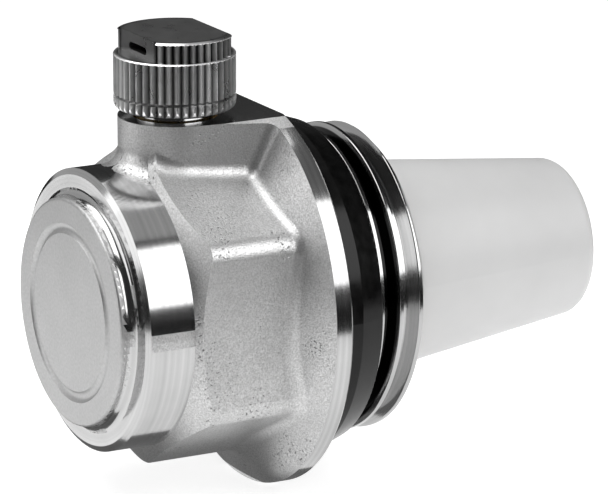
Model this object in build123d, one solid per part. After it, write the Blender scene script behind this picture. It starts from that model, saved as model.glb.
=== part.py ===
from build123d import *
import os
from math import cos, radians, tan, sin

os.makedirs("parts", exist_ok=True)

# Radiator air vent. The thread axis is Y: the closed front faces -Y, the thread and the float
# point to +Y, the knurled vent cap stands up along +Z. y = 0 is the flange's rear sealing face.
# All lengths are millimetres.

# Fits between pieces that belong together
GAP = 0.02
LOOSE = 0.05

# Body, turned front
FRONT_Y = -22.5
FRONT_EDGE = 0.3
DISC_R = 12.15
SHELF_Y = -20.85
SHELF_R = 14.4
TURNED_R = 15.05
TURNED_Y = -20.45
SHELF_FILLET = 0.9
RING_GROOVE_R = 9.0
RING_GROOVE_TOOL = 0.75
RING_GROOVE_DEPTH = 0.3

# Body, forged hexagon, boss and flange
HEX_A = 15.9
HEX_CORNER = 2.4
HEX_LOW_CORNER = 5.0
HEX_FRONT_Y = -15.4
HEX_CHAMFER = 30.0
HEX_REAR_Y = -1.0
BOSS_Y = -9.95
BOSS_R = 6.05
BOSS_SPREAD = 9.0
TOP_Z = 20.0
FLANGE_R = 21.0
RIM_W = 2.0
RIM_CHAMFER = 0.25
CONE_RUN = 0.5
BLEND_R = 1.6
BOSS_BLEND_R = 1.9

# Body, rear neck and thread (G1, drawn as its major cylinder)
LAND_R = 16.8
LAND_END_Y = 3.6
RELIEF_R = 15.0
RELIEF_END_Y = 4.2
THREAD_R = 16.62
THREAD_Y = 5.6
THREAD_END_Y = 10.75
BODY_END_Y = 11.55
END_R = 15.8

# Body, hollow inside
CAVITY_R = 13.0
CAVITY_FRONT_Y = -18.7
CAVITY_FILLET = 1.0
MOUTH_R = 13.7
MOUTH_Y = 5.0
MOUTH_CHAMFER = 0.4
SEAT_Z = 13.4
SEAT_R = 6.4
NOZZLE_HOLE_R = 4.52

# Seal ring behind the flange: a straight front part and a taper that runs down to the thread
SEAL_BORE_R = 16.85
SEAL_R = 18.4
SEAL_TAPER_Y = 2.55
SEAL_END_R = 17.4
SEAL_END_Y = 5.45
SEAL_EDGE = 0.3

# Nozzle
NOZZLE_R = 4.5
NOZZLE_TOP_Z = 19.2
STEM_R = 4.0
STEM_LOW_Z = 19.7
STEM_TOP_Z = 26.0
STEM_CHAMFER = 0.2
STOP_Z = 24.58
STOP_H = 0.7
STOP_R = 4.4
STOP_GAP = 1.1
STOP_GROOVE_R = 3.3
STOP_GROOVE_H = 0.77
SEAT_LOW_Z = 10.4
SEAT_TIP_R = 1.5
SEAT_FOOT_R = 2.2
ORIFICE_R = 0.75
NOZZLE_BORE_R = 1.6
NOZZLE_FLANGE_Z = 11.2
NOZZLE_HEX_R = 5.4
BRACKET_Z = 12.6
GLAND_LOW_Z = 15.0
GLAND_TOP_Z = 16.5
GLAND_R = 3.4
GLAND_RING_R = 3.95
GLAND_RING_S = 0.53

# Hinge
HINGE_Y = -15.2
HINGE_Z = 8.6
PIN_R = 0.75
PIN_HEAD_R = 1.3
PIN_HEAD_W = 0.8
PIN_END = 1.1
CLIP_R = 1.9
CLIP_W = 0.5
EAR_X = 5.0
EAR_T = 0.8
EAR_FRONT_Y = -17.0
EAR_LOW_Z = 6.9
EAR_ROOT_Y = -7.6
EAR_STEP_Y = -12.4

# Cap
CAP_R = 6.45
CAP_LOW_Z = 20.77
CAP_LOW_ROUND = 0.8
CAP_GROOVE_Z = 22.3
CAP_GROOVE_DEPTH = 0.35
CAP_GROOVE_HALF = 0.16
CAP_BAND_Z = 26.7
CAP_TOP_Z = 28.95
CAP_UP_R = 6.35
CAP_EDGE = 0.15
CAP_FLAT = 4.3
CAP_BORE_R = 4.05
CHAMBER_R = 4.6
CHAMBER_LOW_Z = 23.0
UPPER_R = 3.6
UPPER_LOW_Z = 26.5
CEILING_Z = 27.9
PEG_R = 0.6
PEG_FOOT_R = 1.2
PEG_FOOT_Z = 27.22
SLOT_W = 4.0
SLOT_LOW_Z = 27.1
SLOT_INNER_Y = 2.6
KNURLS = 44
KNURL_DEPTH = 0.4
KNURL_CREST = 0.09
DISC_LOW_Z = 26.03
DISC_TOP_Z = 27.18
CAP_DISC_R = 2.6

# Float
FLOAT_Y = 18.0
FLOAT_Z = 0.64
FLOAT_TILT = 0.84
FLOAT_BASE_Y = 12.2
FLOAT_WELD_Y = 13.7
LID_WALL = 1.6
FLOAT_END_Y = 37.1
FLOAT_R = 10.85
FLOAT_SLOPE = 7.0
FLOAT_WALL = 1.2
FLOAT_EDGE = 1.4
FLOAT_INNER_EDGE = 0.6
PLUG_LENGTH = 2.0
SOCKET_Y = 5.0
SOCKET_R = 4.4
SOCKET_ROUND = 1.0
STUB_R = 2.6
STUB_Y = 3.4
STUB_TIP = 0.2
SOCKET_TIP = 0.4

# Lever
LEVER_X = 2.8
LEVER_EYE_R = 2.1
LEVER_SIDE_GAP = 0.12
LEVER_TOP_Z = 9.7
LEVER_LOW_Z = -1.6
PAD_R = 1.9
PAD_LOW_Z = 8.6

# Lengths for cutting tools that only have to be large enough
FAR = 30.0
CUT = 1.0


def turned_face(points, rounds):
    face = make_face(Polyline(*points, close=True))
    for r, along, size in rounds:
        near = [v for v in face.vertices() if abs(v.X - r) + abs(v.Y - along) < 0.01]
        face = fillet(near, size)
    return face


def turn(points, rounds=()):
    # Solid of revolution about the thread axis from (radius, y) points, with rounded corners
    return revolve(turned_face(points, rounds), Axis.Y)


def turn_up(points, rounds=()):
    # The same about the cap axis, from (radius, z) points
    return Pos(0, BOSS_Y, 0) * revolve(Plane.XZ * turned_face(points, rounds), Axis.Z)


def knurl(crest_r, low, high):
    # Upright prism with straight teeth: each has a narrow crest, and slanting sides that meet in the root
    pitch = 360 / KNURLS
    tooth_form = ((-KNURL_CREST, crest_r), (KNURL_CREST, crest_r), (0.5, crest_r - KNURL_DEPTH))
    points = []
    for tooth in range(KNURLS):
        for share, r in tooth_form:
            angle = radians((tooth + share) * pitch)
            points.append((r * cos(angle), r * sin(angle)))
    return Pos(0, BOSS_Y, low) * extrude(Polygon(*points, align=None), high - low, dir=(0, 0, 1))


def post(low, high, r):
    return Pos(0, BOSS_Y, low) * extrude(Circle(r), high - low)


def bar(x0, x1, r):
    # Round bar on the hinge line
    return Pos(x0, HINGE_Y, HINGE_Z) * Rot(0, 90, 0) * extrude(Circle(r), x1 - x0)


def slab(x0, x1, y0, y1, z0, z1):
    return Pos((x0 + x1) / 2, (y0 + y1) / 2, (z0 + z1) / 2) * Box(x1 - x0, y1 - y0, z1 - z0)


def plate(points, x0, x1):
    # Flat piece drawn in (y, z) and given its thickness along X
    return Pos(x0, 0, 0) * extrude(Plane.YZ * Polygon(*points, align=None), x1 - x0, dir=(1, 0, 0))


def save(piece, name):
    solid = piece.solids()[0]
    solid.label = name
    print(name, round(solid.volume, 1), "mm3")
    export_step(solid, "parts/" + name + ".step")


# Forged blank: hexagon bar with rounded corners, its front end turned down and chamfered like a nut's
corner = HEX_A / cos(radians(30))
hex_points = [(corner * cos(radians(a)), corner * sin(radians(a))) for a in range(30, 390, 60)]
hexagon = Polygon(*hex_points, align=None)
hexagon = fillet([v for v in hexagon.vertices() if abs(v.X) < 1], HEX_LOW_CORNER)
sides = [v for v in hexagon.vertices() if abs(v.X) > 10 and abs(abs(v.Y) - corner / 2) < 0.01]
hexagon = fillet(sides, HEX_CORNER)
blank = extrude(Plane.XZ.offset(-HEX_REAR_Y) * hexagon, HEX_REAR_Y - TURNED_Y)
chamfer_end_y = HEX_FRONT_Y + (FAR - TURNED_R) * tan(radians(HEX_CHAMFER))
blank -= turn([(TURNED_R, -FAR), (FAR, -FAR), (FAR, chamfer_end_y), (TURNED_R, HEX_FRONT_Y)])

# Boss on top of it, with a rounded foot
side = radians(BOSS_SPREAD)
touch_x = BOSS_R * cos(side)
touch_y = BOSS_Y - BOSS_R * sin(side)
wide = touch_x + (HEX_REAR_Y - touch_y) * tan(side)
boss_plan = Pos(0, BOSS_Y) * Circle(BOSS_R)
boss_plan += Polygon((-touch_x, touch_y), (touch_x, touch_y),
                     (wide, HEX_REAR_Y), (-wide, HEX_REAR_Y), align=None)
blank += Pos(0, 0, TOP_Z / 5) * extrude(boss_plan, TOP_Z)


def on_boss_foot(edge):
    p = edge.position_at(0.5)
    return 13 < p.Z < 18 and BOSS_Y - BOSS_R - LOOSE < p.Y < HEX_REAR_Y - LOOSE and abs(p.X) < 8


blank = blank.solids()[0].fillet(BOSS_BLEND_R, [e for e in blank.edges() if on_boss_foot(e)])
blank = blank & turn([(0, -FAR), (FLANGE_R, -FAR), (FLANGE_R, 0), (0, 0)])

# Flange with its conical front, cut flush with the boss top
blank += turn([(0, -RIM_W - FLANGE_R * CONE_RUN), (FLANGE_R, -RIM_W), (FLANGE_R, -RIM_CHAMFER),
               (FLANGE_R - RIM_CHAMFER, 0), (0, 0)])
blank -= slab(-FAR, FAR, -FAR, FAR, TOP_Z, FAR)


def on_cone_foot(edge):
    p = edge.position_at(0.5)
    return p.Y < -RIM_W - LOOSE and p.Z < TOP_Z - LOOSE


cone = blank.faces().filter_by(GeomType.CONE).sort_by(SortBy.AREA)[-1]
blank = blank.solids()[0].fillet(BLEND_R, [e for e in cone.edges() if on_cone_foot(e)])

# Turned front: raised disc and shelf
front = turn([(0, FRONT_Y), (DISC_R, FRONT_Y), (DISC_R, SHELF_Y), (SHELF_R, SHELF_Y), (TURNED_R, TURNED_Y),
              (0, TURNED_Y)],
             [(DISC_R, FRONT_Y, FRONT_EDGE), (DISC_R, SHELF_Y, SHELF_FILLET)])

# Rear neck with its thread
neck = turn([(0, HEX_REAR_Y), (LAND_R, HEX_REAR_Y), (LAND_R, LAND_END_Y), (RELIEF_R, LAND_END_Y),
             (RELIEF_R, RELIEF_END_Y), (THREAD_R, THREAD_Y), (THREAD_R, THREAD_END_Y), (END_R, BODY_END_Y),
             (0, BODY_END_Y)])
body = blank + front + neck
body -= Pos(0, FRONT_Y - RING_GROOVE_TOOL + RING_GROOVE_DEPTH, 0) * Rot(90, 0, 0) * Torus(
    RING_GROOVE_R, RING_GROOVE_TOOL)

# Hollow inside, flat seat under the boss and the nozzle hole
mouth_edge = MOUTH_R + MOUTH_CHAMFER
body -= turn([(0, CAVITY_FRONT_Y), (CAVITY_R, CAVITY_FRONT_Y), (CAVITY_R, MOUTH_Y),
              (MOUTH_R, MOUTH_Y + MOUTH_R - CAVITY_R), (MOUTH_R, BODY_END_Y - MOUTH_CHAMFER),
              (mouth_edge, BODY_END_Y), (mouth_edge, BODY_END_Y + CUT), (0, BODY_END_Y + CUT)],
             [(CAVITY_R, CAVITY_FRONT_Y, CAVITY_FILLET)])
body -= post(SEAT_Z / 2, SEAT_Z, SEAT_R)
body -= post(SEAT_Z / 2, TOP_Z + CUT, NOZZLE_HOLE_R)
save(body, "vent_body")

# Seal ring behind the flange
seal = turn([(SEAL_BORE_R, GAP), (SEAL_R, GAP), (SEAL_R, SEAL_TAPER_Y), (SEAL_END_R, SEAL_END_Y),
             (SEAL_BORE_R, SEAL_END_Y)],
            [(SEAL_R, GAP, SEAL_EDGE), (SEAL_R, SEAL_TAPER_Y, SEAL_EDGE),
             (SEAL_END_R, SEAL_END_Y, SEAL_EDGE / 2)])
save(seal, "flange_seal_ring")

# Nozzle: valve seat below, hexagon that clamps the bracket, shank, stem for the cap
clamp_z = BRACKET_Z - GAP
stop_end_z = STOP_Z + STOP_GROOVE_H
tip_r = STEM_R - STEM_CHAMFER / 2
nozzle = turn_up([(0, SEAT_LOW_Z), (SEAT_TIP_R, SEAT_LOW_Z), (SEAT_FOOT_R, NOZZLE_FLANGE_Z),
                  (SEAT_FOOT_R, clamp_z), (NOZZLE_R, clamp_z), (NOZZLE_R, GLAND_LOW_Z), (GLAND_R, GLAND_LOW_Z),
                  (GLAND_R, GLAND_TOP_Z), (NOZZLE_R, GLAND_TOP_Z), (NOZZLE_R, NOZZLE_TOP_Z),
                  (STEM_R, STEM_LOW_Z), (STEM_R, STOP_Z), (STOP_GROOVE_R, STOP_Z), (STOP_GROOVE_R, stop_end_z),
                  (tip_r, stop_end_z), (tip_r, STEM_TOP_Z - STEM_CHAMFER), (tip_r - STEM_CHAMFER, STEM_TOP_Z),
                  (0, STEM_TOP_Z)])
nozzle += Pos(0, BOSS_Y, NOZZLE_FLANGE_Z) * extrude(
    Rot(0, 0, 30) * RegularPolygon(NOZZLE_HEX_R, 6), clamp_z - NOZZLE_FLANGE_Z)
nozzle -= post(SEAT_LOW_Z - CUT, STEM_TOP_Z + CUT, ORIFICE_R)
nozzle -= post(BRACKET_Z, STEM_TOP_Z + CUT, NOZZLE_BORE_R)
save(nozzle, "valve_nozzle")
gland_z = (GLAND_LOW_Z + GLAND_TOP_Z) / 2
save(Pos(0, BOSS_Y, gland_z) * Torus(GLAND_RING_R, GLAND_RING_S), "nozzle_seal_ring")

# Open ring that keeps the cap on its stem
stop_low = STOP_Z - CUT
stop_high = STOP_Z + STOP_H + CUT
stop = post(STOP_Z + GAP, STOP_Z + STOP_H, STOP_R)
stop -= post(stop_low, stop_high, STOP_GROOVE_R + LOOSE)
stop -= slab(-STOP_GAP, STOP_GAP, BOSS_Y + CUT, BOSS_Y + STOP_R + CUT, stop_low, stop_high)
save(stop, "cap_stop_ring")

# Bracket clamped under the nozzle, with two ears for the hinge pin
clamp_top = SEAT_Z - GAP
bracket = post(BRACKET_Z, clamp_top, SEAT_R - 2 * LOOSE)
bracket -= post(BRACKET_Z - CUT, SEAT_Z + CUT, NOZZLE_R + LOOSE)
ear = [(EAR_STEP_Y, clamp_top), (EAR_ROOT_Y, clamp_top), (EAR_ROOT_Y, 11.0), (-11.5, EAR_LOW_Z),
       (EAR_FRONT_Y, EAR_LOW_Z), (EAR_FRONT_Y, 10.4), (-14.5, 11.2), (EAR_STEP_Y, 11.4)]
ear_end = EAR_X + EAR_T
bracket += plate(ear, EAR_X, ear_end)
bracket += plate(ear, -ear_end, -EAR_X)
pin_hole = bar(-2 * EAR_X, 2 * EAR_X, PIN_R + GAP / 2)
bracket -= pin_hole
save(bracket, "hinge_bracket")

pin = bar(-ear_end - LOOSE, ear_end + PIN_END, PIN_R)
pin += bar(-ear_end - PIN_HEAD_W, -ear_end - LOOSE, PIN_HEAD_R)
save(pin, "hinge_pin")
save(bar(ear_end + LOOSE, ear_end + LOOSE + CLIP_W, CLIP_R) - pin_hole, "pin_clip")

# Float, drawn on the thread axis and then set at its own small angle
float_place = Pos(0, FLOAT_Y, FLOAT_Z) * Rot(FLOAT_TILT, 0, 0) * Pos(0, -FLOAT_Y, 0)
slope = tan(radians(FLOAT_SLOPE))


def cone_r(y):
    return FLOAT_R - (y - FLOAT_Y) * slope


end_r = cone_r(FLOAT_END_Y)
weld_r = cone_r(FLOAT_WELD_Y)
inner_end = FLOAT_END_Y - FLOAT_WALL
shell = turn([(weld_r, FLOAT_WELD_Y), (end_r, FLOAT_END_Y), (0, FLOAT_END_Y), (0, inner_end),
              (end_r - FLOAT_WALL, inner_end), (weld_r - FLOAT_WALL, FLOAT_WELD_Y)],
             [(end_r, FLOAT_END_Y, FLOAT_EDGE), (end_r - FLOAT_WALL, inner_end, FLOAT_INNER_EDGE)])
save(float_place * shell, "float_shell")

plug_y = FLOAT_WELD_Y + PLUG_LENGTH
plug_r = cone_r(plug_y) - FLOAT_WALL - LOOSE
lid_y = FLOAT_BASE_Y + LID_WALL
socket_end = FLOAT_BASE_Y + SOCKET_TIP
base_r = cone_r(FLOAT_BASE_Y)
base = turn([(STUB_R + GAP, SOCKET_Y), (SOCKET_R, SOCKET_Y), (SOCKET_R, FLOAT_BASE_Y), (base_r, FLOAT_BASE_Y),
             (weld_r, FLOAT_WELD_Y - GAP), (plug_r, FLOAT_WELD_Y - GAP), (plug_r, plug_y),
             (plug_r - FLOAT_WALL, plug_y), (plug_r - FLOAT_WALL, lid_y), (0, lid_y), (0, socket_end),
             (STUB_R + GAP, socket_end)],
            [(base_r, FLOAT_BASE_Y, SOCKET_ROUND), (SOCKET_R, FLOAT_BASE_Y, SOCKET_ROUND)])
save(float_place * base, "float_base")

# Lever from the hinge, under the nozzle, down to the float
eye_x = EAR_X - LEVER_SIDE_GAP
stub_end = FLOAT_BASE_Y + STUB_TIP
lever = bar(-eye_x, eye_x, LEVER_EYE_R)
lever_side = [(HINGE_Y, 10.4), (-12.2, LEVER_TOP_Z), (-7.2, LEVER_TOP_Z), (-5.6, 8.6), (1.6, 3.0), (4.2, 2.6),
              (4.2, LEVER_LOW_Z), (1.0, LEVER_LOW_Z), (-6.8, 5.4), (-8.0, 6.4), (HINGE_Y, 6.6)]
lever += plate(lever_side, -LEVER_X, LEVER_X)
lever += float_place * turn([(0, STUB_Y), (STUB_R, STUB_Y), (STUB_R, stub_end), (0, stub_end)])
lever -= bar(-2 * EAR_X, 2 * EAR_X, PIN_R + 2 * GAP)
lever -= post(PAD_LOW_Z, SEAT_LOW_Z + CUT, PAD_R + GAP)
save(lever, "float_lever")
save(post(PAD_LOW_Z + GAP, SEAT_LOW_Z - GAP, PAD_R), "shutter_pad")

# Knurled cap: lower ring, main band, double-D top with the outlet slot in its front flat
groove_low = CAP_GROOVE_Z - CAP_GROOVE_HALF
groove_top = CAP_GROOVE_Z + CAP_GROOVE_HALF
groove_r = CAP_R - CAP_GROOVE_DEPTH
cap = turn_up([(CAP_BORE_R, CAP_LOW_Z), (CAP_R, CAP_LOW_Z), (CAP_R, groove_low), (groove_r, groove_low),
               (groove_r, groove_top), (CAP_R, groove_top), (CAP_R, CAP_BAND_Z), (CAP_UP_R, CAP_BAND_Z),
               (CAP_UP_R, CAP_TOP_Z - CAP_EDGE), (CAP_UP_R - CAP_EDGE, CAP_TOP_Z), (0, CAP_TOP_Z),
               (0, UPPER_LOW_Z), (PEG_R, UPPER_LOW_Z), (PEG_R, PEG_FOOT_Z), (PEG_FOOT_R, PEG_FOOT_Z),
               (PEG_FOOT_R, CEILING_Z), (UPPER_R, CEILING_Z), (UPPER_R, UPPER_LOW_Z), (CHAMBER_R, UPPER_LOW_Z),
               (CHAMBER_R, CHAMBER_LOW_Z), (CAP_BORE_R, CHAMBER_LOW_Z)],
              [(CAP_R, CAP_LOW_Z, CAP_LOW_ROUND)])
cap = cap & (knurl(CAP_R, CAP_LOW_Z, CAP_BAND_Z) + knurl(CAP_UP_R, CAP_BAND_Z, CAP_TOP_Z))
cap -= slab(-FAR, FAR, BOSS_Y - FAR, BOSS_Y - CAP_FLAT, CAP_BAND_Z, CAP_TOP_Z + CUT)
cap -= slab(-FAR, FAR, BOSS_Y + CAP_FLAT, BOSS_Y + FAR, CAP_BAND_Z, CAP_TOP_Z + CUT)
slot = Plane.XZ * SlotOverall(SLOT_W, CEILING_Z - SLOT_LOW_Z)
cap -= Pos(0, BOSS_Y - SLOT_INNER_Y, (CEILING_Z + SLOT_LOW_Z) / 2) * extrude(slot, CAP_FLAT)
save(cap, "vent_cap")
peg_hole = post(UPPER_LOW_Z - 2 * LOOSE, DISC_TOP_Z + CUT, PEG_R + 2 * GAP)
save(post(DISC_LOW_Z, DISC_TOP_Z, CAP_DISC_R) - peg_hole, "cap_seal_disc")
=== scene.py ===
# %% [markdown]
# # A radiator air vent in chrome, rubber and white plastic
# The part is a small forged fitting. It screws into the top of a radiator with its thread, and a float
# inside the radiator lets air out through the little knurled cap. The exact solids come from the CAD
# frame. This lesson gives them their finishes, cuts the pipe thread, and lights them as in a catalogue
# photograph.

# %% Load the fixed frame
import math

import bmesh
import bpy
import numpy as np
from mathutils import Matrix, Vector


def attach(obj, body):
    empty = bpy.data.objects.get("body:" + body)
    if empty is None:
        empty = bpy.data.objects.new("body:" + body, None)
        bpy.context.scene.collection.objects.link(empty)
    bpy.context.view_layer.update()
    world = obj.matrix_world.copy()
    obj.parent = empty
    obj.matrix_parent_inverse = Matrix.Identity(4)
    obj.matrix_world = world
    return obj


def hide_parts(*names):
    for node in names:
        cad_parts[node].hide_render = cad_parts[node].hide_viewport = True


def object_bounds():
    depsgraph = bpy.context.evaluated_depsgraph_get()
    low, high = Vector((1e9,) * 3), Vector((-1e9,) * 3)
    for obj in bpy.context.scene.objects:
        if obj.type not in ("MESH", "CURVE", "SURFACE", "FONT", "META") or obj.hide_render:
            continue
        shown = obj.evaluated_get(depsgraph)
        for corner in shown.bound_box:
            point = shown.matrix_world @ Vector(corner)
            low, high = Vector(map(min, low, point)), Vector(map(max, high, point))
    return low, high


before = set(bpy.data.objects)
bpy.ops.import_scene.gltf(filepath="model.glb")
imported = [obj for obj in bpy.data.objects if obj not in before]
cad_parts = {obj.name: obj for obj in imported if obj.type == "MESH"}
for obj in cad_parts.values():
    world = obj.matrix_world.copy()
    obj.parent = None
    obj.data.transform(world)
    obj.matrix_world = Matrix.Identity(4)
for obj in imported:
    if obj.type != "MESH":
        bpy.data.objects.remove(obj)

MM = 0.001
cad_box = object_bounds()

# %% [markdown]
# ## The camera
# Catalogue pictures of fittings are taken with a long lens from a little above, so that round parts keep
# their shape. The view is given as a photographer would say it: which way round the part, how high, how
# far away, and which point the lens is aimed at. The lens then follows from how large the part stands in
# the picture.

# %% Place the camera
VIEW_AZIMUTH = math.radians(61.6)
VIEW_ELEVATION = math.radians(15.07)
VIEW_DISTANCE = 0.57
VIEW_AIM = Vector((1.2, 4.8, 3.9)) * MM
LENS_MM = 316.0
SENSOR_MM = 36.0

towards_camera = Vector((
    math.cos(VIEW_ELEVATION) * math.sin(VIEW_AZIMUTH),
    -math.cos(VIEW_ELEVATION) * math.cos(VIEW_AZIMUTH),
    math.sin(VIEW_ELEVATION),
))
camera = bpy.data.objects.new("catalogue_camera", bpy.data.cameras.new("catalogue_camera"))
camera.data.sensor_fit = "HORIZONTAL"
camera.data.sensor_width = SENSOR_MM
camera.data.lens = LENS_MM
camera.location = VIEW_AIM + towards_camera * VIEW_DISTANCE
camera.rotation_euler = (-towards_camera).to_track_quat("-Z", "Y").to_euler()
bpy.context.scene.collection.objects.link(camera)
bpy.context.scene.camera = camera
print("camera at", tuple(round(c, 4) for c in camera.location))

# %% [markdown]
# ## Floor, panels and flags
# Chrome has almost no colour of its own: what it shows is the room. A chrome fitting is therefore lit
# with a few large soft panels, on a white table, in a dark room. Black cards, which photographers call
# flags, lie on the table round a small white field and are seen only in reflections. The rings look out
# over the edge of the field and get a crisp dark band, and the cap, which stands higher, looks past it
# all round and turns dark. Grey cards under the part deepen its shade, and two more over rim and thread
# keep their tops dark.

# %% Lay the table
TABLE_SIZE = 4.0
TABLE_GLOW = 0.8
TABLE_WHITE = 0.5


def flat_card(name, centre, across, upwards):
    """A four-cornered card given by its centre and its two half sides."""
    corners = [centre - across - upwards, centre + across - upwards]
    corners += [centre + across + upwards, centre - across + upwards]
    mesh = bpy.data.meshes.new(name)
    mesh.from_pydata([tuple(c) for c in corners], [], [(0, 1, 2, 3)])
    card = bpy.data.objects.new(name, mesh)
    bpy.context.scene.collection.objects.link(card)
    return card


def card_material(name, colour, glow):
    material = bpy.data.materials.new(name)
    material.use_nodes = True
    shader = material.node_tree.nodes["Principled BSDF"]
    shader.inputs["Base Color"].default_value = (colour, colour, colour, 1)
    shader.inputs["Roughness"].default_value = 1.0
    shader.inputs["Specular IOR Level"].default_value = 0.0
    shader.inputs["Emission Color"].default_value = (1, 1, 1, 1)
    shader.inputs["Emission Strength"].default_value = glow
    return material


table_z = cad_box[0][2]
half_table = TABLE_SIZE / 2
table = flat_card(
    "table",
    Vector((0, 0, table_z)),
    Vector((half_table, 0, 0)),
    Vector((0, half_table, 0)),
)
table.data.materials.append(card_material("white_table", TABLE_WHITE, TABLE_GLOW))
print("table at", round(table_z / MM, 2), "mm")

# %% Hang the panels


def panel(name, centre, width, height, radiance):
    """A soft panel that faces the part. Its power gives the wanted brightness all over its face."""
    light = bpy.data.lights.new(name, "AREA")
    light.shape = "RECTANGLE"
    light.size = width
    light.size_y = height
    light.energy = radiance * math.pi * width * height
    lamp = bpy.data.objects.new(name, light)
    lamp.location = centre
    lamp.rotation_euler = (-lamp.location).to_track_quat("-Z", "Y").to_euler()
    lamp.visible_camera = False
    bpy.context.scene.collection.objects.link(lamp)
    return lamp


# Each panel: centre, width and height in metres, then its brightness
STANDING_PANELS = {
    "side_panel": ((0.580, 0.366, 0.412), 0.9, 0.62, 2.8),
    "front_panel": ((-0.68, -0.37, 0.2), 0.9, 0.6, 0.5),
    "low_panel": ((-0.30, -0.72, 0.2), 0.5, 0.5, 1.8),
}
HANGING_PANELS = {
    "overhead_front": ((-0.030, -0.080, 0.150), 0.200, 0.140, 3.2),
    "overhead_left": ((-0.072, 0.030, 0.150), 0.115, 0.080, 2.2),
    "overhead_back": ((0.027, 0.030, 0.150), 0.085, 0.080, 0.45),
}
for name, sizes in STANDING_PANELS.items():
    panel(name, *sizes)
for name, sizes in HANGING_PANELS.items():
    panel(name, *sizes).rotation_euler = (0, 0, 0)

# %% Lay the flags
BLACK_GLOW = 0.01
GREY_GLOW = 0.16
FLAG_LIFT = 0.5
FLAG_Z = table_z / MM + FLAG_LIFT
OVERHEAD_FLAG_Z = 30
FIELD_X = (-135, 84)
FIELD_Y = (-130, 125)
FLAG_HALF = 950
flag_black = card_material("flag_black", 0.0, BLACK_GLOW)
flag_grey = card_material("flag_grey", 0.0, GREY_GLOW)


def flag(name, centre, half_x, half_y, colour):
    """A level dark card that only reflections can see, in millimetres."""
    card = flat_card(name, Vector(centre) * MM, Vector((half_x * MM, 0, 0)), Vector((0, half_y * MM, 0)))
    card.data.materials.append(colour)
    card.visible_camera = False
    card.visible_diffuse = False
    card.visible_shadow = False
    card.visible_transmission = False


FIELD_EDGE_FLAGS = {
    "right_flag": (FIELD_X[1] + FLAG_HALF, 0),
    "left_flag": (FIELD_X[0] - FLAG_HALF, 0),
    "near_flag": (0, FIELD_Y[0] - FLAG_HALF),
    "far_flag": (0, FIELD_Y[1] + FLAG_HALF),
}
for name, (x, y) in FIELD_EDGE_FLAGS.items():
    flag(name, (x, y, FLAG_Z), FLAG_HALF, FLAG_HALF, flag_black)
flag("under_hexagon", (-22, -15, FLAG_Z), 28, 11, flag_grey)
flag("under_flange", (-20, 0.5, FLAG_Z), 30, 4.5, flag_grey)
flag("over_rim", (0, 9.25, OVERHEAD_FLAG_Z), 24, 4.75, flag_grey)
flag("over_thread", (0, 29, OVERHEAD_FLAG_Z), 24, 15, flag_black)

# %% Darken the room
ROOM_GREY = 0.04
BACKDROP_GREY = 0.95
world = bpy.data.worlds.new("dark_room")
world.use_nodes = True
bpy.context.scene.world = world
room = world.node_tree.nodes["Background"]
ray = world.node_tree.nodes.new("ShaderNodeLightPath")
tone = world.node_tree.nodes.new("ShaderNodeMapRange")
tone.inputs["To Min"].default_value = ROOM_GREY
tone.inputs["To Max"].default_value = BACKDROP_GREY
world.node_tree.links.new(ray.outputs["Is Camera Ray"], tone.inputs["Value"])
world.node_tree.links.new(tone.outputs["Result"], room.inputs["Strength"])
room.inputs["Color"].default_value = (1, 1, 1, 1)
bpy.context.scene.view_settings.view_transform = "Standard"
print("room grey:", ROOM_GREY, "backdrop:", BACKDROP_GREY)

# %% [markdown]
# ## A small kit for finishes
# Every finish below is the Principled shader with a few textures in front of it. The textures read
# Object coordinates, which are the real metres of the part, so a grain size can be written in
# millimetres.

# %% Helpers that wire up a finish
NOISE_LOW = 0.3
NOISE_HIGH = 0.7


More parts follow.
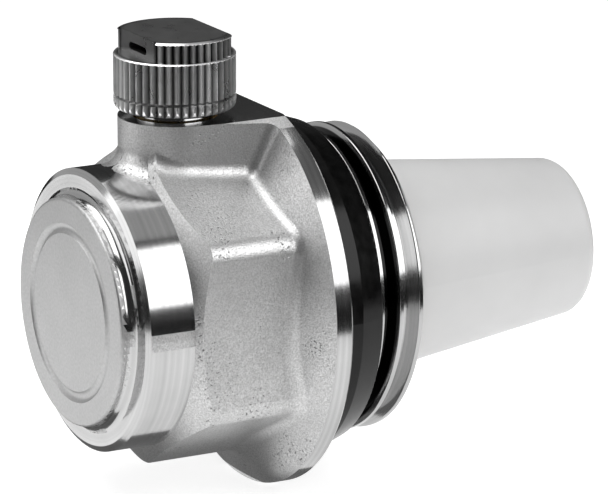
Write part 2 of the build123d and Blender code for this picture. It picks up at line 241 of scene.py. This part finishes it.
class Finish:
    """One material: the shader's plain values are set first, then textures are linked to it."""

    def __init__(self, name, **values):
        self.material = bpy.data.materials.new(name)
        self.material.use_nodes = True
        self.tree = self.material.node_tree
        self.shader = self.tree.nodes["Principled BSDF"]
        for socket, value in values.items():
            self.shader.inputs[socket.replace("_", " ")].default_value = value
        self.place = self.add("ShaderNodeTexCoord").outputs["Object"]

    def add(self, kind, **settings):
        node = self.tree.nodes.new(kind)
        for name, value in settings.items():
            setattr(node, name, value)
        return node

    def link(self, output, socket):
        self.tree.links.new(output, socket)

    def sum(self, operation, first, second):
        """One step of arithmetic. Each side is an output or a plain number."""
        node = self.add("ShaderNodeMath", operation=operation)
        for socket, side in zip(node.inputs, (first, second)):
            if isinstance(side, (int, float)):
                socket.default_value = side
            else:
                self.link(side, socket)
        return node.outputs[0]

    def polar(self, centre_mm, along):
        """Place along the lettered axis, distance from it and the two cross directions."""
        shift = self.add("ShaderNodeMapping", vector_type="POINT")
        shift.inputs["Location"].default_value = [-c * MM for c in centre_mm]
        self.link(self.place, shift.inputs["Vector"])
        parts = self.add("ShaderNodeSeparateXYZ")
        self.link(shift.outputs["Vector"], parts.inputs["Vector"])
        first, second = [parts.outputs[letter] for letter in "XYZ" if letter != along]
        squares = [self.sum("MULTIPLY", side, side) for side in (first, second)]
        radius = self.sum("SQRT", self.sum("ADD", *squares), 0.0)
        return parts.outputs[along], radius, first, second

    def noise(self, grain_mm, detail=2.0, where=None):
        """Cloudy grain. grain_mm is about the size of one speck."""
        node = self.add("ShaderNodeTexNoise")
        node.inputs["Scale"].default_value = 1 / (grain_mm * MM)
        node.inputs["Detail"].default_value = detail
        self.link(where or self.place, node.inputs["Vector"])
        return node.outputs["Fac"]

    def spread(self, value, low, high, to_low, to_high):
        """Stretches a texture's range and holds it inside the new one."""
        node = self.add("ShaderNodeMapRange")
        node.inputs["From Min"].default_value = low
        node.inputs["From Max"].default_value = high
        node.inputs["To Min"].default_value = to_low
        node.inputs["To Max"].default_value = to_high
        self.link(value, node.inputs["Value"])
        return node.outputs["Result"]

    def vary(self, noise, to_low, to_high):
        """Lets a noise move a value between two limits."""
        return self.spread(noise, NOISE_LOW, NOISE_HIGH, to_low, to_high)

    def grey(self, value):
        """A grey colour as bright as the value."""
        node = self.add("ShaderNodeCombineColor")
        for socket in node.inputs:
            self.link(value, socket)
        return node.outputs["Color"]

    def bump(self, height, depth_mm):
        """Raises fine relief, depth_mm high, in the shading alone."""
        node = self.add("ShaderNodeBump")
        node.inputs["Strength"].default_value = 1.0
        node.inputs["Distance"].default_value = depth_mm * MM
        self.link(height, node.inputs["Height"])
        self.link(node.outputs["Normal"], self.shader.inputs["Normal"])

    def to(self, socket, output):
        self.link(output, self.shader.inputs[socket])


print("finish kit ready")

# %% [markdown]
# ## The forged chrome
# The hexagon, the boss and the flange are as the forging press left them and were then plated. The skin
# is a fine bright sand, each grain throwing light its own way, with small dark pits left by the scale.

# %% Forged chrome


def forged_chrome():
    skin = Finish("forged_chrome", Metallic=1.0)
    sand = skin.noise(grain_mm=0.17, detail=3.0)
    cloud = skin.noise(grain_mm=3.0, detail=2.0)
    pit = skin.spread(skin.noise(grain_mm=0.3, detail=1.0), 0.60, 0.72, 0.0, 1.0)
    patch = skin.spread(skin.noise(grain_mm=4.5, detail=1.0), 0.52, 0.66, 0.0, 1.0)
    pits = skin.sum("MULTIPLY", pit, patch)
    tone = skin.vary(sand, 0.41, 0.67)
    tone = skin.sum("MULTIPLY", tone, skin.vary(cloud, 0.95, 1.03))
    tone = skin.sum("MULTIPLY", tone, skin.spread(pits, 0.0, 1.0, 1.0, 0.4))
    skin.to("Base Color", skin.grey(tone))
    skin.to("Roughness", skin.vary(sand, 0.48, 0.34))
    depth = skin.sum("SUBTRACT", sand, skin.sum("MULTIPLY", pits, 1.5))
    skin.bump(depth, depth_mm=0.03)
    return skin.material


FORGED = forged_chrome()
print("finish:", FORGED.name)

# %% [markdown]
# ## The turned chrome
# The rings at the front, the rim of the flange and the thread were cut on a lathe and plated bright.
# They are mirrors, with the finest of grooves running round the axis where the tool has passed.

# %% Turned chrome
TURNED_SHADE = 0.49
# Tone of the painted shade in the thread's first groove
PAINTED_SHADE_TONE = 0.03


def turned_chrome(name, centre_mm, along, shade, painted_shade=None):
    """Bright chrome with tool marks round an axis. The last argument, if given, marks where painted shade
    darkens the chrome.
    """
    mirror = Finish(name, Metallic=1.0)
    place, radius, first, second = mirror.polar(centre_mm, along)
    ring = mirror.sum("ADD", place, radius)
    line = mirror.add("ShaderNodeCombineXYZ")
    mirror.link(ring, line.inputs["X"])
    marks = mirror.noise(grain_mm=0.12, detail=3.0, where=line.outputs["Vector"])
    bands = mirror.noise(grain_mm=0.7, detail=3.0, where=line.outputs["Vector"])
    film = mirror.noise(grain_mm=4.0, detail=2.0)
    tone = mirror.sum("MULTIPLY", mirror.vary(film, 0.96, 1.02), mirror.vary(bands, 0.86, 1.1))
    tone = mirror.sum("MULTIPLY", tone, shade)
    if painted_shade:
        # Painted shade: the chrome is darkened where the given function returns one
        unshaded = mirror.spread(painted_shade(mirror, place, radius, first, second), 0.0, 1.0, 1.0, PAINTED_SHADE_TONE)
        tone = mirror.sum("MULTIPLY", tone, unshaded)
    mirror.to("Base Color", mirror.grey(tone))
    mirror.to("Roughness", mirror.vary(marks, 0.10, 0.19))
    mirror.bump(marks, depth_mm=0.002)
    return mirror.material


TURNED = turned_chrome("turned_chrome", (0, 0, 0), "Y", TURNED_SHADE)
print("finish:", TURNED.name)

# %% [markdown]
# ## The satin front
# The round front face is not polished: it has a soft, even grain that scatters the light, and a shallow
# ring groove. A rough mirror with a fine bump gives the same milky grey.

# %% Satin chrome


def satin_chrome():
    satin = Finish("satin_chrome", Metallic=1.0)
    grain = satin.noise(grain_mm=0.3, detail=3.0)
    cloud = satin.noise(grain_mm=4.0, detail=2.0)
    tone = satin.sum("MULTIPLY", satin.vary(grain, 0.41, 0.47), satin.vary(cloud, 0.97, 1.02))
    satin.to("Base Color", satin.grey(tone))
    satin.to("Roughness", satin.vary(grain, 0.48, 0.42))
    satin.bump(grain, depth_mm=0.012)
    return satin.material


SATIN = satin_chrome()
print("finish:", SATIN.name)

# %% [markdown]
# ## The body, copied so that its thread can be cut
# The CAD body carries a plain cylinder where the pipe thread belongs. The copy below keeps every other
# face and the exact surface normals of the CAD solid, so that the mirrors stay smooth.

# %% Copy the welded faces of a solid
WELD_MM = 0.0005


def solid_copy(node, keep):
    """Welded points, corner triples and corner normals of those triangles that keep() chooses."""
    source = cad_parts[node].data
    points = np.empty(len(source.vertices) * 3)
    source.vertices.foreach_get("co", points)
    points = points.reshape(-1, 3) / MM
    corners = np.empty(len(source.loops), int)
    source.loops.foreach_get("vertex_index", corners)
    corners = corners.reshape(-1, 3)
    normals = np.array([n.vector for n in source.corner_normals]).reshape(-1, 3, 3)
    chosen = keep(points[corners])
    cells = np.round(points / WELD_MM).astype(int)
    first, where = np.unique(cells, axis=0, return_index=True, return_inverse=True)[1:]
    corners = where.reshape(-1)[corners][chosen]
    normals = normals[chosen]
    whole = np.all(corners != np.roll(corners, 1, axis=1), axis=1)
    return points[first], corners[whole], normals[whole]


THREAD_FOOT_Y = 4.2
MOUTH_EDGE_R = 14.1


def outside_thread(triangles):
    """False for the plain cylinder, its two chamfers and the end face, where the thread goes."""
    middle = triangles.mean(axis=1)
    radius = np.hypot(middle[:, 0], middle[:, 2])
    lowest = triangles[:, :, 1].min(axis=1)
    return (lowest < THREAD_FOOT_Y - WELD_MM) | (radius < MOUTH_EDGE_R)


body_points, body_corners, body_normals = solid_copy("vent_body", outside_thread)
print("body faces kept:", len(body_corners))

# %% [markdown]
# ## The pipe thread
# A parallel pipe thread is a ridge wound round the neck like a spiral stair. It could be swept along a
# helix, but then it would have to be joined to the neck. Here a flat grid is rolled into a tube by a
# rule instead. Its rows climb with the thread, so that the edges of the crests stay sharp. Each point's
# radius depends on how far it lies from the nearest crest, and two cones trim the first and last turn.
# The thread is left-handed.

# %% Write the rule of the thread as a node tree
THREAD_SIZES = {
    "Pitch": 2.309,
    "Crest Radius": 16.62,
    "Root Radius": 15.14,
    "Foot Y": THREAD_FOOT_Y,
    "Foot Radius": 15.0,
    "Full Y": 5.6,
    "Trim Y": 10.75,
    "End Y": 11.55,
    "End Radius": 15.8,
    "Mouth Radius": MOUTH_EDGE_R,
    "Crest Y": 8.2,
}
THREAD_SEGMENTS = 256
ROWS_PER_TURN = 48
CREST_SHARE = 4 / ROWS_PER_TURN
ROOT_SHARE = 20 / ROWS_PER_TURN
thread_turns = (THREAD_SIZES["End Y"] - THREAD_SIZES["Foot Y"]) / THREAD_SIZES["Pitch"]
THREAD_ROWS = math.ceil((thread_turns + 1) * ROWS_PER_TURN) + 1


class Rule:
    """A geometry node tree that is written one step at a time."""

    def __init__(self, name):
        self.tree = bpy.data.node_groups.new(name, "GeometryNodeTree")
        self.tree.interface.new_socket("Geometry", in_out="OUTPUT", socket_type="NodeSocketGeometry")
        self.given = self.add("NodeGroupInput")

    def add(self, kind, **settings):
        node = self.tree.nodes.new(kind)
        for name, value in settings.items():
            setattr(node, name, value)
        return node

    def take(self, name, kind):
        """A named input of the tree."""
        self.tree.interface.new_socket(name, in_out="INPUT", socket_type=kind)
        return self.given.outputs[name]

    def feed(self, node, *values):
        for socket, value in zip(node.inputs, values):
            if value is None:
                continue
            if isinstance(value, bpy.types.NodeSocket):
                self.tree.links.new(value, socket)
            else:
                socket.default_value = value
        return node

    def sum(self, operation, *values):
        return self.feed(self.add("ShaderNodeMath", operation=operation), *values).outputs[0]

    def spread(self, value, low, high, to_low, to_high):
        return self.feed(self.add("ShaderNodeMapRange"), value, low, high, to_low, to_high).outputs[0]


def thread_rule():
    rule = Rule("pipe_thread")
    size = {name: rule.take(name, "NodeSocketFloat") for name in THREAD_SIZES}
    metal = rule.take("Metal", "NodeSocketMaterial")
    grid = rule.add("GeometryNodeMeshGrid")
    rule.feed(grid, 1.0, 1.0, THREAD_SEGMENTS + 1, THREAD_ROWS + 1)
    place = rule.add("ShaderNodeSeparateXYZ")
    rule.feed(place, rule.add("GeometryNodeInputPosition").outputs[0])
    turn = rule.sum("ADD", place.outputs["X"], 0.5)
    row = rule.sum("MULTIPLY", rule.sum("ADD", place.outputs["Y"], 0.5), float(THREAD_ROWS))
    steps = rule.sum("SUBTRACT", rule.sum("DIVIDE", row, float(ROWS_PER_TURN)), 1.0)
    climb = rule.sum("MULTIPLY", rule.sum("ADD", steps, turn), size["Pitch"])
    along = rule.sum("ADD", size["Foot Y"], climb)
    along = rule.sum("MINIMUM", rule.sum("MAXIMUM", along, size["Foot Y"]), size["End Y"])
    turns_from_crest = rule.sum("DIVIDE", rule.sum("SUBTRACT", along, size["Crest Y"]), size["Pitch"])
    turns_from_crest = rule.sum("SUBTRACT", turns_from_crest, turn)
    nearest_crest = rule.sum("ROUND", turns_from_crest)
    from_crest = rule.sum("ABSOLUTE", rule.sum("SUBTRACT", turns_from_crest, nearest_crest))
    ridge = rule.spread(from_crest, CREST_SHARE, ROOT_SHARE, size["Crest Radius"], size["Root Radius"])
    first_cone = rule.spread(
        along, size["Foot Y"], size["Full Y"], size["Foot Radius"], size["Crest Radius"])
    last_cone = rule.spread(
        along, size["Trim Y"], size["End Y"], size["Crest Radius"], size["End Radius"])
    radius = rule.sum("MINIMUM", ridge, rule.sum("MINIMUM", first_cone, last_cone))
    is_mouth = rule.sum("GREATER_THAN", row, THREAD_ROWS - 0.5)
    radius = rule.spread(is_mouth, 0.0, 1.0, radius, size["Mouth Radius"])
    angle = rule.sum("MULTIPLY", turn, math.tau)
    point = rule.add("ShaderNodeCombineXYZ")
    across = rule.sum("MULTIPLY", radius, rule.sum("COSINE", angle))
    upwards = rule.sum("MULTIPLY", radius, rule.sum("SINE", angle))
    rule.feed(point, across, along, upwards)
    rolled = rule.feed(rule.add("GeometryNodeSetPosition"), grid.outputs["Mesh"], None, point.outputs[0])
    closed = rule.feed(rule.add("GeometryNodeMergeByDistance"), rolled.outputs[0])
    closed.inputs["Distance"].default_value = WELD_MM * MM
    outwards = rule.feed(rule.add("GeometryNodeFlipFaces"), closed.outputs[0])
    realized = rule.feed(rule.add("GeometryNodeRealizeInstances"), outwards.outputs[0])
    finished = rule.feed(rule.add("GeometryNodeSetMaterial"), realized.outputs[0], None, metal)
    rule.feed(rule.add("NodeGroupOutput"), finished.outputs[0])
    return rule.tree


THREAD_RULE = thread_rule()
print("thread rule inputs:", [s.name for s in THREAD_RULE.interface.items_tree if s.in_out == "INPUT"])

# %% [markdown]
# The first groove, next to the rubber ring, is painted black: painted shade and a painted dark reflection
# of the rubber, which fade away round the back. The crests carry none. The finish finds the groove by
# unwinding the thread: a place along the axis, less the climb for its angle, is the same all along one
# groove.

# %% Thread chrome
# Painted shade in the first groove: its gap before the crest, its soft edge and the turns over which it
# fades
PAINTED_SHADE_GAP = 0.2
PAINTED_SHADE_EDGE = 0.06
CREST_EDGE = 0.1
PAINTED_SHADE_FADE_TURNS = (0.3, 0.48)
GROOVE_EDGE_Y = THREAD_SIZES["Crest Y"] - CREST_SHARE * THREAD_SIZES["Pitch"] - PAINTED_SHADE_GAP
UNSHADED_CREST_R = THREAD_SIZES["Crest Radius"] - CREST_EDGE


def groove_painted_shade(finish, place, radius, first, second):
    """Where painted shade goes: one in the first groove, nought on the crests and everywhere behind."""
    turn = finish.sum("DIVIDE", finish.sum("ARCTAN2", second, first), math.tau)
    unwound = finish.sum("SUBTRACT", place, finish.sum("MULTIPLY", turn, THREAD_SIZES["Pitch"] * MM))
    ahead = finish.spread(unwound, (GROOVE_EDGE_Y - PAINTED_SHADE_EDGE) * MM, GROOVE_EDGE_Y * MM, 1.0, 0.0)
    low = finish.spread(radius, (UNSHADED_CREST_R - CREST_EDGE) * MM, UNSHADED_CREST_R * MM, 1.0, 0.0)
    shown = finish.spread(finish.sum("ABSOLUTE", turn, 0.0), *PAINTED_SHADE_FADE_TURNS, 1.0, 0.0)
    return finish.sum("MULTIPLY", finish.sum("MULTIPLY", ahead, low), shown)


# The thread's chrome, with painted shade in its first groove
THREADED = turned_chrome("thread_chrome", (0, 0, 0), "Y", TURNED_SHADE, groove_painted_shade)
print("finish:", THREADED.name)

# %% Cut the thread
THREAD_EDGE_ANGLE = math.radians(50)


def cut_thread():
    """Runs the rule once and returns the finished thread as a plain mesh."""
    blank = bpy.data.objects.new("thread_blank", bpy.data.meshes.new("thread_blank"))
    bpy.context.scene.collection.objects.link(blank)
    cutter = blank.modifiers.new("thread", "NODES")
    cutter.node_group = THREAD_RULE
    for socket in THREAD_RULE.interface.items_tree:
        if socket.in_out == "INPUT":
            value = THREADED if socket.name == "Metal" else THREAD_SIZES[socket.name] * MM
            cutter[socket.identifier] = value
    depsgraph = bpy.context.evaluated_depsgraph_get()
    mesh = bpy.data.meshes.new_from_object(blank.evaluated_get(depsgraph))
    bpy.data.objects.remove(blank)
    mesh.set_sharp_from_angle(angle=THREAD_EDGE_ANGLE)
    return mesh


thread_mesh = cut_thread()
print("thread faces:", len(thread_mesh.polygons))

# %% [markdown]
# ## Joining the thread to the body and choosing its finishes
# The thread's two open rings are bridged to the rings left in the body. Each face then gets the finish
# of the way it was made: faces that run round the axis were turned, the front disc is satin, the bore is
# bare brass and the rest is as forged.

# %% Join, close and sort the faces
FRONT_DISC_R = 12.2
FRONT_DISC_Y = -22.0
BORE_R = 14.3
BORE_FRONT_Y = -18.8
NOZZLE_AXIS_Y = -9.95
NOZZLE_HOLE_R = 5.0
NOZZLE_HOLE_Z = 9.0
TURNED_RING_Y = -15.4
RIM_Y = -2.0
TOP_FLAT_Z = 19.99
TURNED_SLANT = 0.02
FINISH_ORDER = ("forged", "turned", "satin", "bore", "thread")


def body_finish(triangles, normals):
    """The place in FINISH_ORDER for each face, from where it lies and which way its corners face."""
    middle = triangles.mean(axis=1)
    radius = np.hypot(middle[:, 0], middle[:, 2])
    corner_radius = np.hypot(triangles[:, :, 0], triangles[:, :, 2])
    sideways = normals[:, :, 2] * triangles[:, :, 0] - normals[:, :, 0] * triangles[:, :, 2]
    slant = np.abs(sideways / np.maximum(corner_radius, WELD_MM)).max(axis=1)
    ahead = triangles[:, :, 1].max(axis=1) < TURNED_RING_Y + TURNED_SLANT
    behind = triangles[:, :, 1].min(axis=1) > RIM_Y - TURNED_SLANT
    finish = np.zeros(len(triangles), int)
    finish[(slant < TURNED_SLANT) & (ahead | behind)] = FINISH_ORDER.index("turned")
    finish[triangles[:, :, 2].min(axis=1) > TOP_FLAT_Z] = FINISH_ORDER.index("turned")
    front = (middle[:, 1] < FRONT_DISC_Y) & (radius < FRONT_DISC_R)
    finish[front] = FINISH_ORDER.index("satin")
    chamber = (middle[:, 1] > BORE_FRONT_Y) & (radius < BORE_R)
    hole = np.hypot(middle[:, 0], middle[:, 1] - NOZZLE_AXIS_Y) < NOZZLE_HOLE_R
    hole &= (middle[:, 2] > NOZZLE_HOLE_Z) & (middle[:, 2] < TOP_FLAT_Z)
    finish[chamber | hole] = FINISH_ORDER.index("bore")
    return finish


finish_of_face = body_finish(body_points[body_corners], body_normals)
print({name: int((finish_of_face == k).sum()) for k, name in enumerate(FINISH_ORDER)})

# %% Build the dressed body
RING_REACH_MM = 4 * WELD_MM


def joined_body():
    """The body's kept faces and the thread as one mesh, still open where they meet, that remembers its
    corner normals.
    """
    thread_points = np.array([v.co for v in thread_mesh.vertices])
    thread_normals = np.array([n.vector for n in thread_mesh.corner_normals])
    form = bmesh.new()
    kept_normal = form.loops.layers.float_vector.new("kept_normal")
    spots = [form.verts.new(p * MM) for p in body_points]
    for corners, normals, finish in zip(body_corners, body_normals, finish_of_face):
        face = form.faces.new([spots[c] for c in corners])
        face.material_index = int(finish)
        for loop, normal in zip(face.loops, normals):
            loop[kept_normal] = normal
    spots = [form.verts.new(p) for p in thread_points]
    for polygon in thread_mesh.polygons:
        face = form.faces.new([spots[v] for v in polygon.vertices])
        face.material_index = FINISH_ORDER.index("thread")
        for loop, index in zip(face.loops, polygon.loop_indices):
            loop[kept_normal] = thread_normals[index]
    return form, kept_normal


def close_rings(form):
    """Bridges each open ring of the thread to the open ring of the body that lies on it."""
    open_edges = [e for e in form.edges if e.is_boundary]
    for ring_y in (THREAD_SIZES["Foot Y"], THREAD_SIZES["End Y"]):
        ring = [e for e in open_edges if all(abs(v.co.y / MM - ring_y) < RING_REACH_MM for v in e.verts)]
        before = len(form.faces)
        bmesh.ops.bridge_loops(form, edges=ring)
        form.faces.ensure_lookup_table()
        for face in form.faces[before:]:
            face.material_index = FINISH_ORDER.index("turned")
    return sum(1 for e in form.edges if not e.is_manifold)


form, kept_normal = joined_body()
still_open = close_rings(form)
loose = [v for v in form.verts if not v.link_faces]
bmesh.ops.delete(form, geom=loose, context="VERTS")
for face in form.faces:
    face.smooth = True
print("body edges left open:", still_open, "loose points dropped:", len(loose))

# %% [markdown]
# ## Brass, steel, nickel and the cap's chrome
# The chamber inside is the bare brass of the forging. The nozzle that the cap seals against is
# nickel-plated. The clip, the hinge pin, the bracket and the stop ring are spring steel. The cap is
# chrome again, with a darker mirror than the body's, painted shade down in the roots of its teeth and a
# painted highlight on their crests.

# %% Brass, steel, nickel and cap chrome


def machined_brass():
    brass = Finish("machined_brass", Metallic=1.0)
    film = brass.noise(grain_mm=1.5, detail=3.0)
    colour = brass.add("ShaderNodeMix", data_type="RGBA")
    colour.inputs["A"].default_value = (0.62, 0.44, 0.20, 1)
    colour.inputs["B"].default_value = (0.78, 0.60, 0.32, 1)
    brass.link(film, colour.inputs["Factor"])
    brass.to("Base Color", colour.outputs["Result"])
    brass.to("Roughness", brass.vary(film, 0.34, 0.22))
    brass.bump(brass.noise(grain_mm=0.15, detail=2.0), depth_mm=0.004)
    return brass.material


def spring_steel():
    steel = Finish("spring_steel", Metallic=1.0)
    grain = steel.noise(grain_mm=0.2, detail=3.0)
    steel.to("Base Color", steel.grey(steel.vary(grain, 0.48, 0.60)))
    steel.to("Roughness", steel.vary(grain, 0.36, 0.26))
    steel.bump(grain, depth_mm=0.004)
    return steel.material


CAP_CORE_R = 5.6
CAP_ROOT_R = 6.0
CAP_CREST_R = 6.4
CAP_TOP_Z = 28.95
CAP_TOP_SKIN = (0.02, 0.005)
# Tones of the painted shade in the tooth roots and of the painted highlight on the crests
ROOT_PAINTED_SHADE = 0.06
CREST_PAINTED_HIGHLIGHT = 0.95
FLAT_TONE = 0.36
TOP_TONE = 0.2
NICKEL_SHADE = 0.66


def knurled_chrome():
    """Chrome with a painted highlight on the crests of the teeth and painted shade down in their roots.
    """
    chrome = Finish("cap_chrome", Metallic=1.0)
    height, radius = chrome.polar((0, NOZZLE_AXIS_Y, 0), "Z")[:2]
    # Painted shade in the roots of the teeth, rising to a painted highlight on their crests
    crest = chrome.spread(radius, CAP_ROOT_R * MM, CAP_CREST_R * MM, ROOT_PAINTED_SHADE, CREST_PAINTED_HIGHLIGHT)
    core = chrome.spread(radius, CAP_CORE_R * MM, CAP_ROOT_R * MM, FLAT_TONE, 0.0)
    skin_low, skin_high = [(CAP_TOP_Z - depth) * MM for depth in CAP_TOP_SKIN]
    top = chrome.spread(height, skin_low, skin_high, 0.0, TOP_TONE)
    film = chrome.noise(grain_mm=1.5, detail=3.0)
    tone = chrome.sum("MAXIMUM", chrome.sum("MAXIMUM", crest, core), top)
    tone = chrome.sum("MULTIPLY", tone, chrome.vary(film, 0.96, 1.03))
    chrome.to("Base Color", chrome.grey(tone))
    chrome.to("Roughness", chrome.vary(film, 0.27, 0.30))
    return chrome.material


BRASS = machined_brass()
STEEL = spring_steel()
CAP_CHROME = knurled_chrome()
NICKEL = turned_chrome("nozzle_nickel", (0, NOZZLE_AXIS_Y, 0), "Z", NICKEL_SHADE)
print("finishes:", BRASS.name, STEEL.name, NICKEL.name, CAP_CHROME.name)

# %% Finish the body
body_mesh = bpy.data.meshes.new("vent_body_threaded")
form.to_mesh(body_mesh)
form.free()
corner_normals = np.zeros(len(body_mesh.loops) * 3)
body_mesh.attributes["kept_normal"].data.foreach_get("vector", corner_normals)
body_mesh.attributes.remove(body_mesh.attributes["kept_normal"])
body_mesh.normals_split_custom_set(corner_normals.reshape(-1, 3))
for finish in (FORGED, TURNED, SATIN, BRASS, THREADED):
    body_mesh.materials.append(finish)
body = bpy.data.objects.new("vent_body_threaded", body_mesh)
bpy.context.scene.collection.objects.link(body)
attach(body, "body")
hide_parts("vent_body")
print("body triangles:", sum(len(p.vertices) - 2 for p in body_mesh.polygons))

# %% [markdown]
# ## The smooth lips of the cap
# The wheel that rolls the teeth into the cap stops short of its edges, so a thin smooth bevel stays at
# the top edge and at the upper edge of the wide band. A copy of the solid is cut where each bevel
# begins, and the points of the teeth above the cut are drawn on to the cone of the bevel. The flats keep
# their planes.

# %% Say which points belong on a lip
CAP_FLAT = 4.3
TOOTH_FOOT_R = 5.9
BAND_LIP = {"low_z": 26.6, "low_r": 6.45, "high_z": 26.7, "high_r": 6.36}
TOP_LIP = {"low_z": 28.75, "low_r": 6.35, "high_z": CAP_TOP_Z, "high_r": 6.15}
BAND_ROOT_R = (6.0, 6.1)
BAND_CREST_R = 6.4


def on_flat(y):
    return abs(abs(y) - CAP_FLAT) < WELD_MM


def on_lip(lip, x, y, z):
    """True for a point of the teeth that belongs on the lip. x and y are measured from the cap's axis."""
    radius = math.hypot(x, y)
    if radius < TOOTH_FOOT_R or not lip["low_z"] - WELD_MM < z < lip["high_z"] + WELD_MM:
        return False
    if lip is TOP_LIP or z < lip["high_z"] - WELD_MM:
        return True
    on_band = radius > BAND_CREST_R or BAND_ROOT_R[0] < radius < BAND_ROOT_R[1]
    return on_band and not on_flat(y)


def drawn_on_to(lip, x, y, z):
    """Where the point goes on the lip's cone. A point on a flat stays in the flat's plane."""
    risen = (z - lip["low_z"]) / (lip["high_z"] - lip["low_z"])
    radius = lip["low_r"] + risen * (lip["high_r"] - lip["low_r"])
    if on_flat(y):
        return math.copysign(math.sqrt(radius ** 2 - y ** 2), x), y
    return x * radius / math.hypot(x, y), y * radius / math.hypot(x, y)


print("lips from", BAND_LIP["low_z"], "and", TOP_LIP["low_z"], "mm up")

# %% Form the lips
LIP_FADE = 0.1


def every_face(triangles):
    return np.ones(len(triangles), bool)


def cut_level(shape, z):
    """Adds a ring of points at one height, all round the shape."""
    everything = shape.verts[:] + shape.edges[:] + shape.faces[:]
    plane = {"plane_co": (0, 0, z * MM), "plane_no": (0, 0, 1)}
    bmesh.ops.bisect_plane(shape, geom=everything, dist=WELD_MM * MM, **plane)


def lipped_cap():
    """The cap's solid as a closed mesh with both lips formed."""
    points, corners = solid_copy("vent_cap", every_face)[:2]
    shape = bmesh.new()
    spots = [shape.verts.new(p * MM) for p in points]
    for triple in corners:
        shape.faces.new([spots[c] for c in triple])
    for lip in (BAND_LIP, TOP_LIP):
        cut_level(shape, lip["low_z"] - LIP_FADE)
        cut_level(shape, lip["low_z"])
        for spot in shape.verts:
            x, y, z = spot.co.x / MM, spot.co.y / MM - NOZZLE_AXIS_Y, spot.co.z / MM
            if on_lip(lip, x, y, z):
                x, y = drawn_on_to(lip, x, y, z)
                spot.co.x, spot.co.y = x * MM, (y + NOZZLE_AXIS_Y) * MM
    bmesh.ops.triangulate(shape, faces=shape.faces[:])
    for face in shape.faces:
        face.smooth = True
    return shape


cap_shape = lipped_cap()
print("cap edges left open:", sum(1 for e in cap_shape.edges if not e.is_manifold))

# %% Finish the cap
CAP_EDGE_ANGLE = math.radians(35)
cap_mesh = bpy.data.meshes.new("vent_cap_lipped")
cap_shape.to_mesh(cap_mesh)
cap_shape.free()
cap_mesh.set_sharp_from_angle(angle=CAP_EDGE_ANGLE)
cap_mesh.materials.append(CAP_CHROME)
cap = bpy.data.objects.new("vent_cap_lipped", cap_mesh)
bpy.context.scene.collection.objects.link(cap)
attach(cap, "cap")
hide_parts("vent_cap")
print("cap triangles:", len(cap_mesh.polygons))

# %% [markdown]
# ## Rubber and plastics
# The flat sealing ring behind the flange and the small seals inside are black rubber, dull with a little
# sheen. The float is moulded in milky white plastic that lets some light through. Its lever is a harder
# plastic that lets less through.

# %% Rubber and plastics


def seal_rubber():
    rubber = Finish("seal_rubber", Specular_IOR_Level=0.22)
    bloom = rubber.noise(grain_mm=1.2, detail=3.0)
    rubber.to("Base Color", rubber.grey(rubber.vary(bloom, 0.002, 0.005)))
    rubber.to("Roughness", rubber.vary(bloom, 0.16, 0.24))
    rubber.bump(rubber.noise(grain_mm=0.25, detail=2.0), depth_mm=0.0015)
    return rubber.material


def moulded_plastic(name, dark, light, milk):
    plastic = Finish(name, Roughness=0.42, Subsurface_Weight=milk, Subsurface_Scale=2 * MM)
    plastic.shader.inputs["Subsurface Radius"].default_value = (1, 1, 1)
    cloud = plastic.noise(grain_mm=6.0, detail=2.0)
    plastic.to("Base Color", plastic.grey(plastic.vary(cloud, dark, light)))
    plastic.bump(plastic.noise(grain_mm=0.25, detail=2.0), depth_mm=0.003)
    return plastic.material


RUBBER = seal_rubber()
FLOAT_PLASTIC = moulded_plastic("float_plastic", dark=0.56, light=0.585, milk=0.35)
LEVER_PLASTIC = moulded_plastic("lever_plastic", dark=0.62, light=0.68, milk=0.1)
print("finishes:", RUBBER.name, FLOAT_PLASTIC.name, LEVER_PLASTIC.name)

# %% Dress the solids that keep their own shape
CARRIED_OVER = {
    "flange_seal_ring": RUBBER,
    "valve_nozzle": NICKEL,
    "nozzle_seal_ring": RUBBER,
    "cap_stop_ring": STEEL,
    "hinge_bracket": STEEL,
    "hinge_pin": STEEL,
    "pin_clip": STEEL,
    "float_lever": LEVER_PLASTIC,
    "shutter_pad": RUBBER,
    "float_base": FLOAT_PLASTIC,
    "float_shell": FLOAT_PLASTIC,
    "cap_seal_disc": RUBBER,
}
for node, finish in CARRIED_OVER.items():
    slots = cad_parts[node].data.materials
    slots.clear()
    slots.append(finish)
print("dressed", len(CARRIED_OVER), "solids")
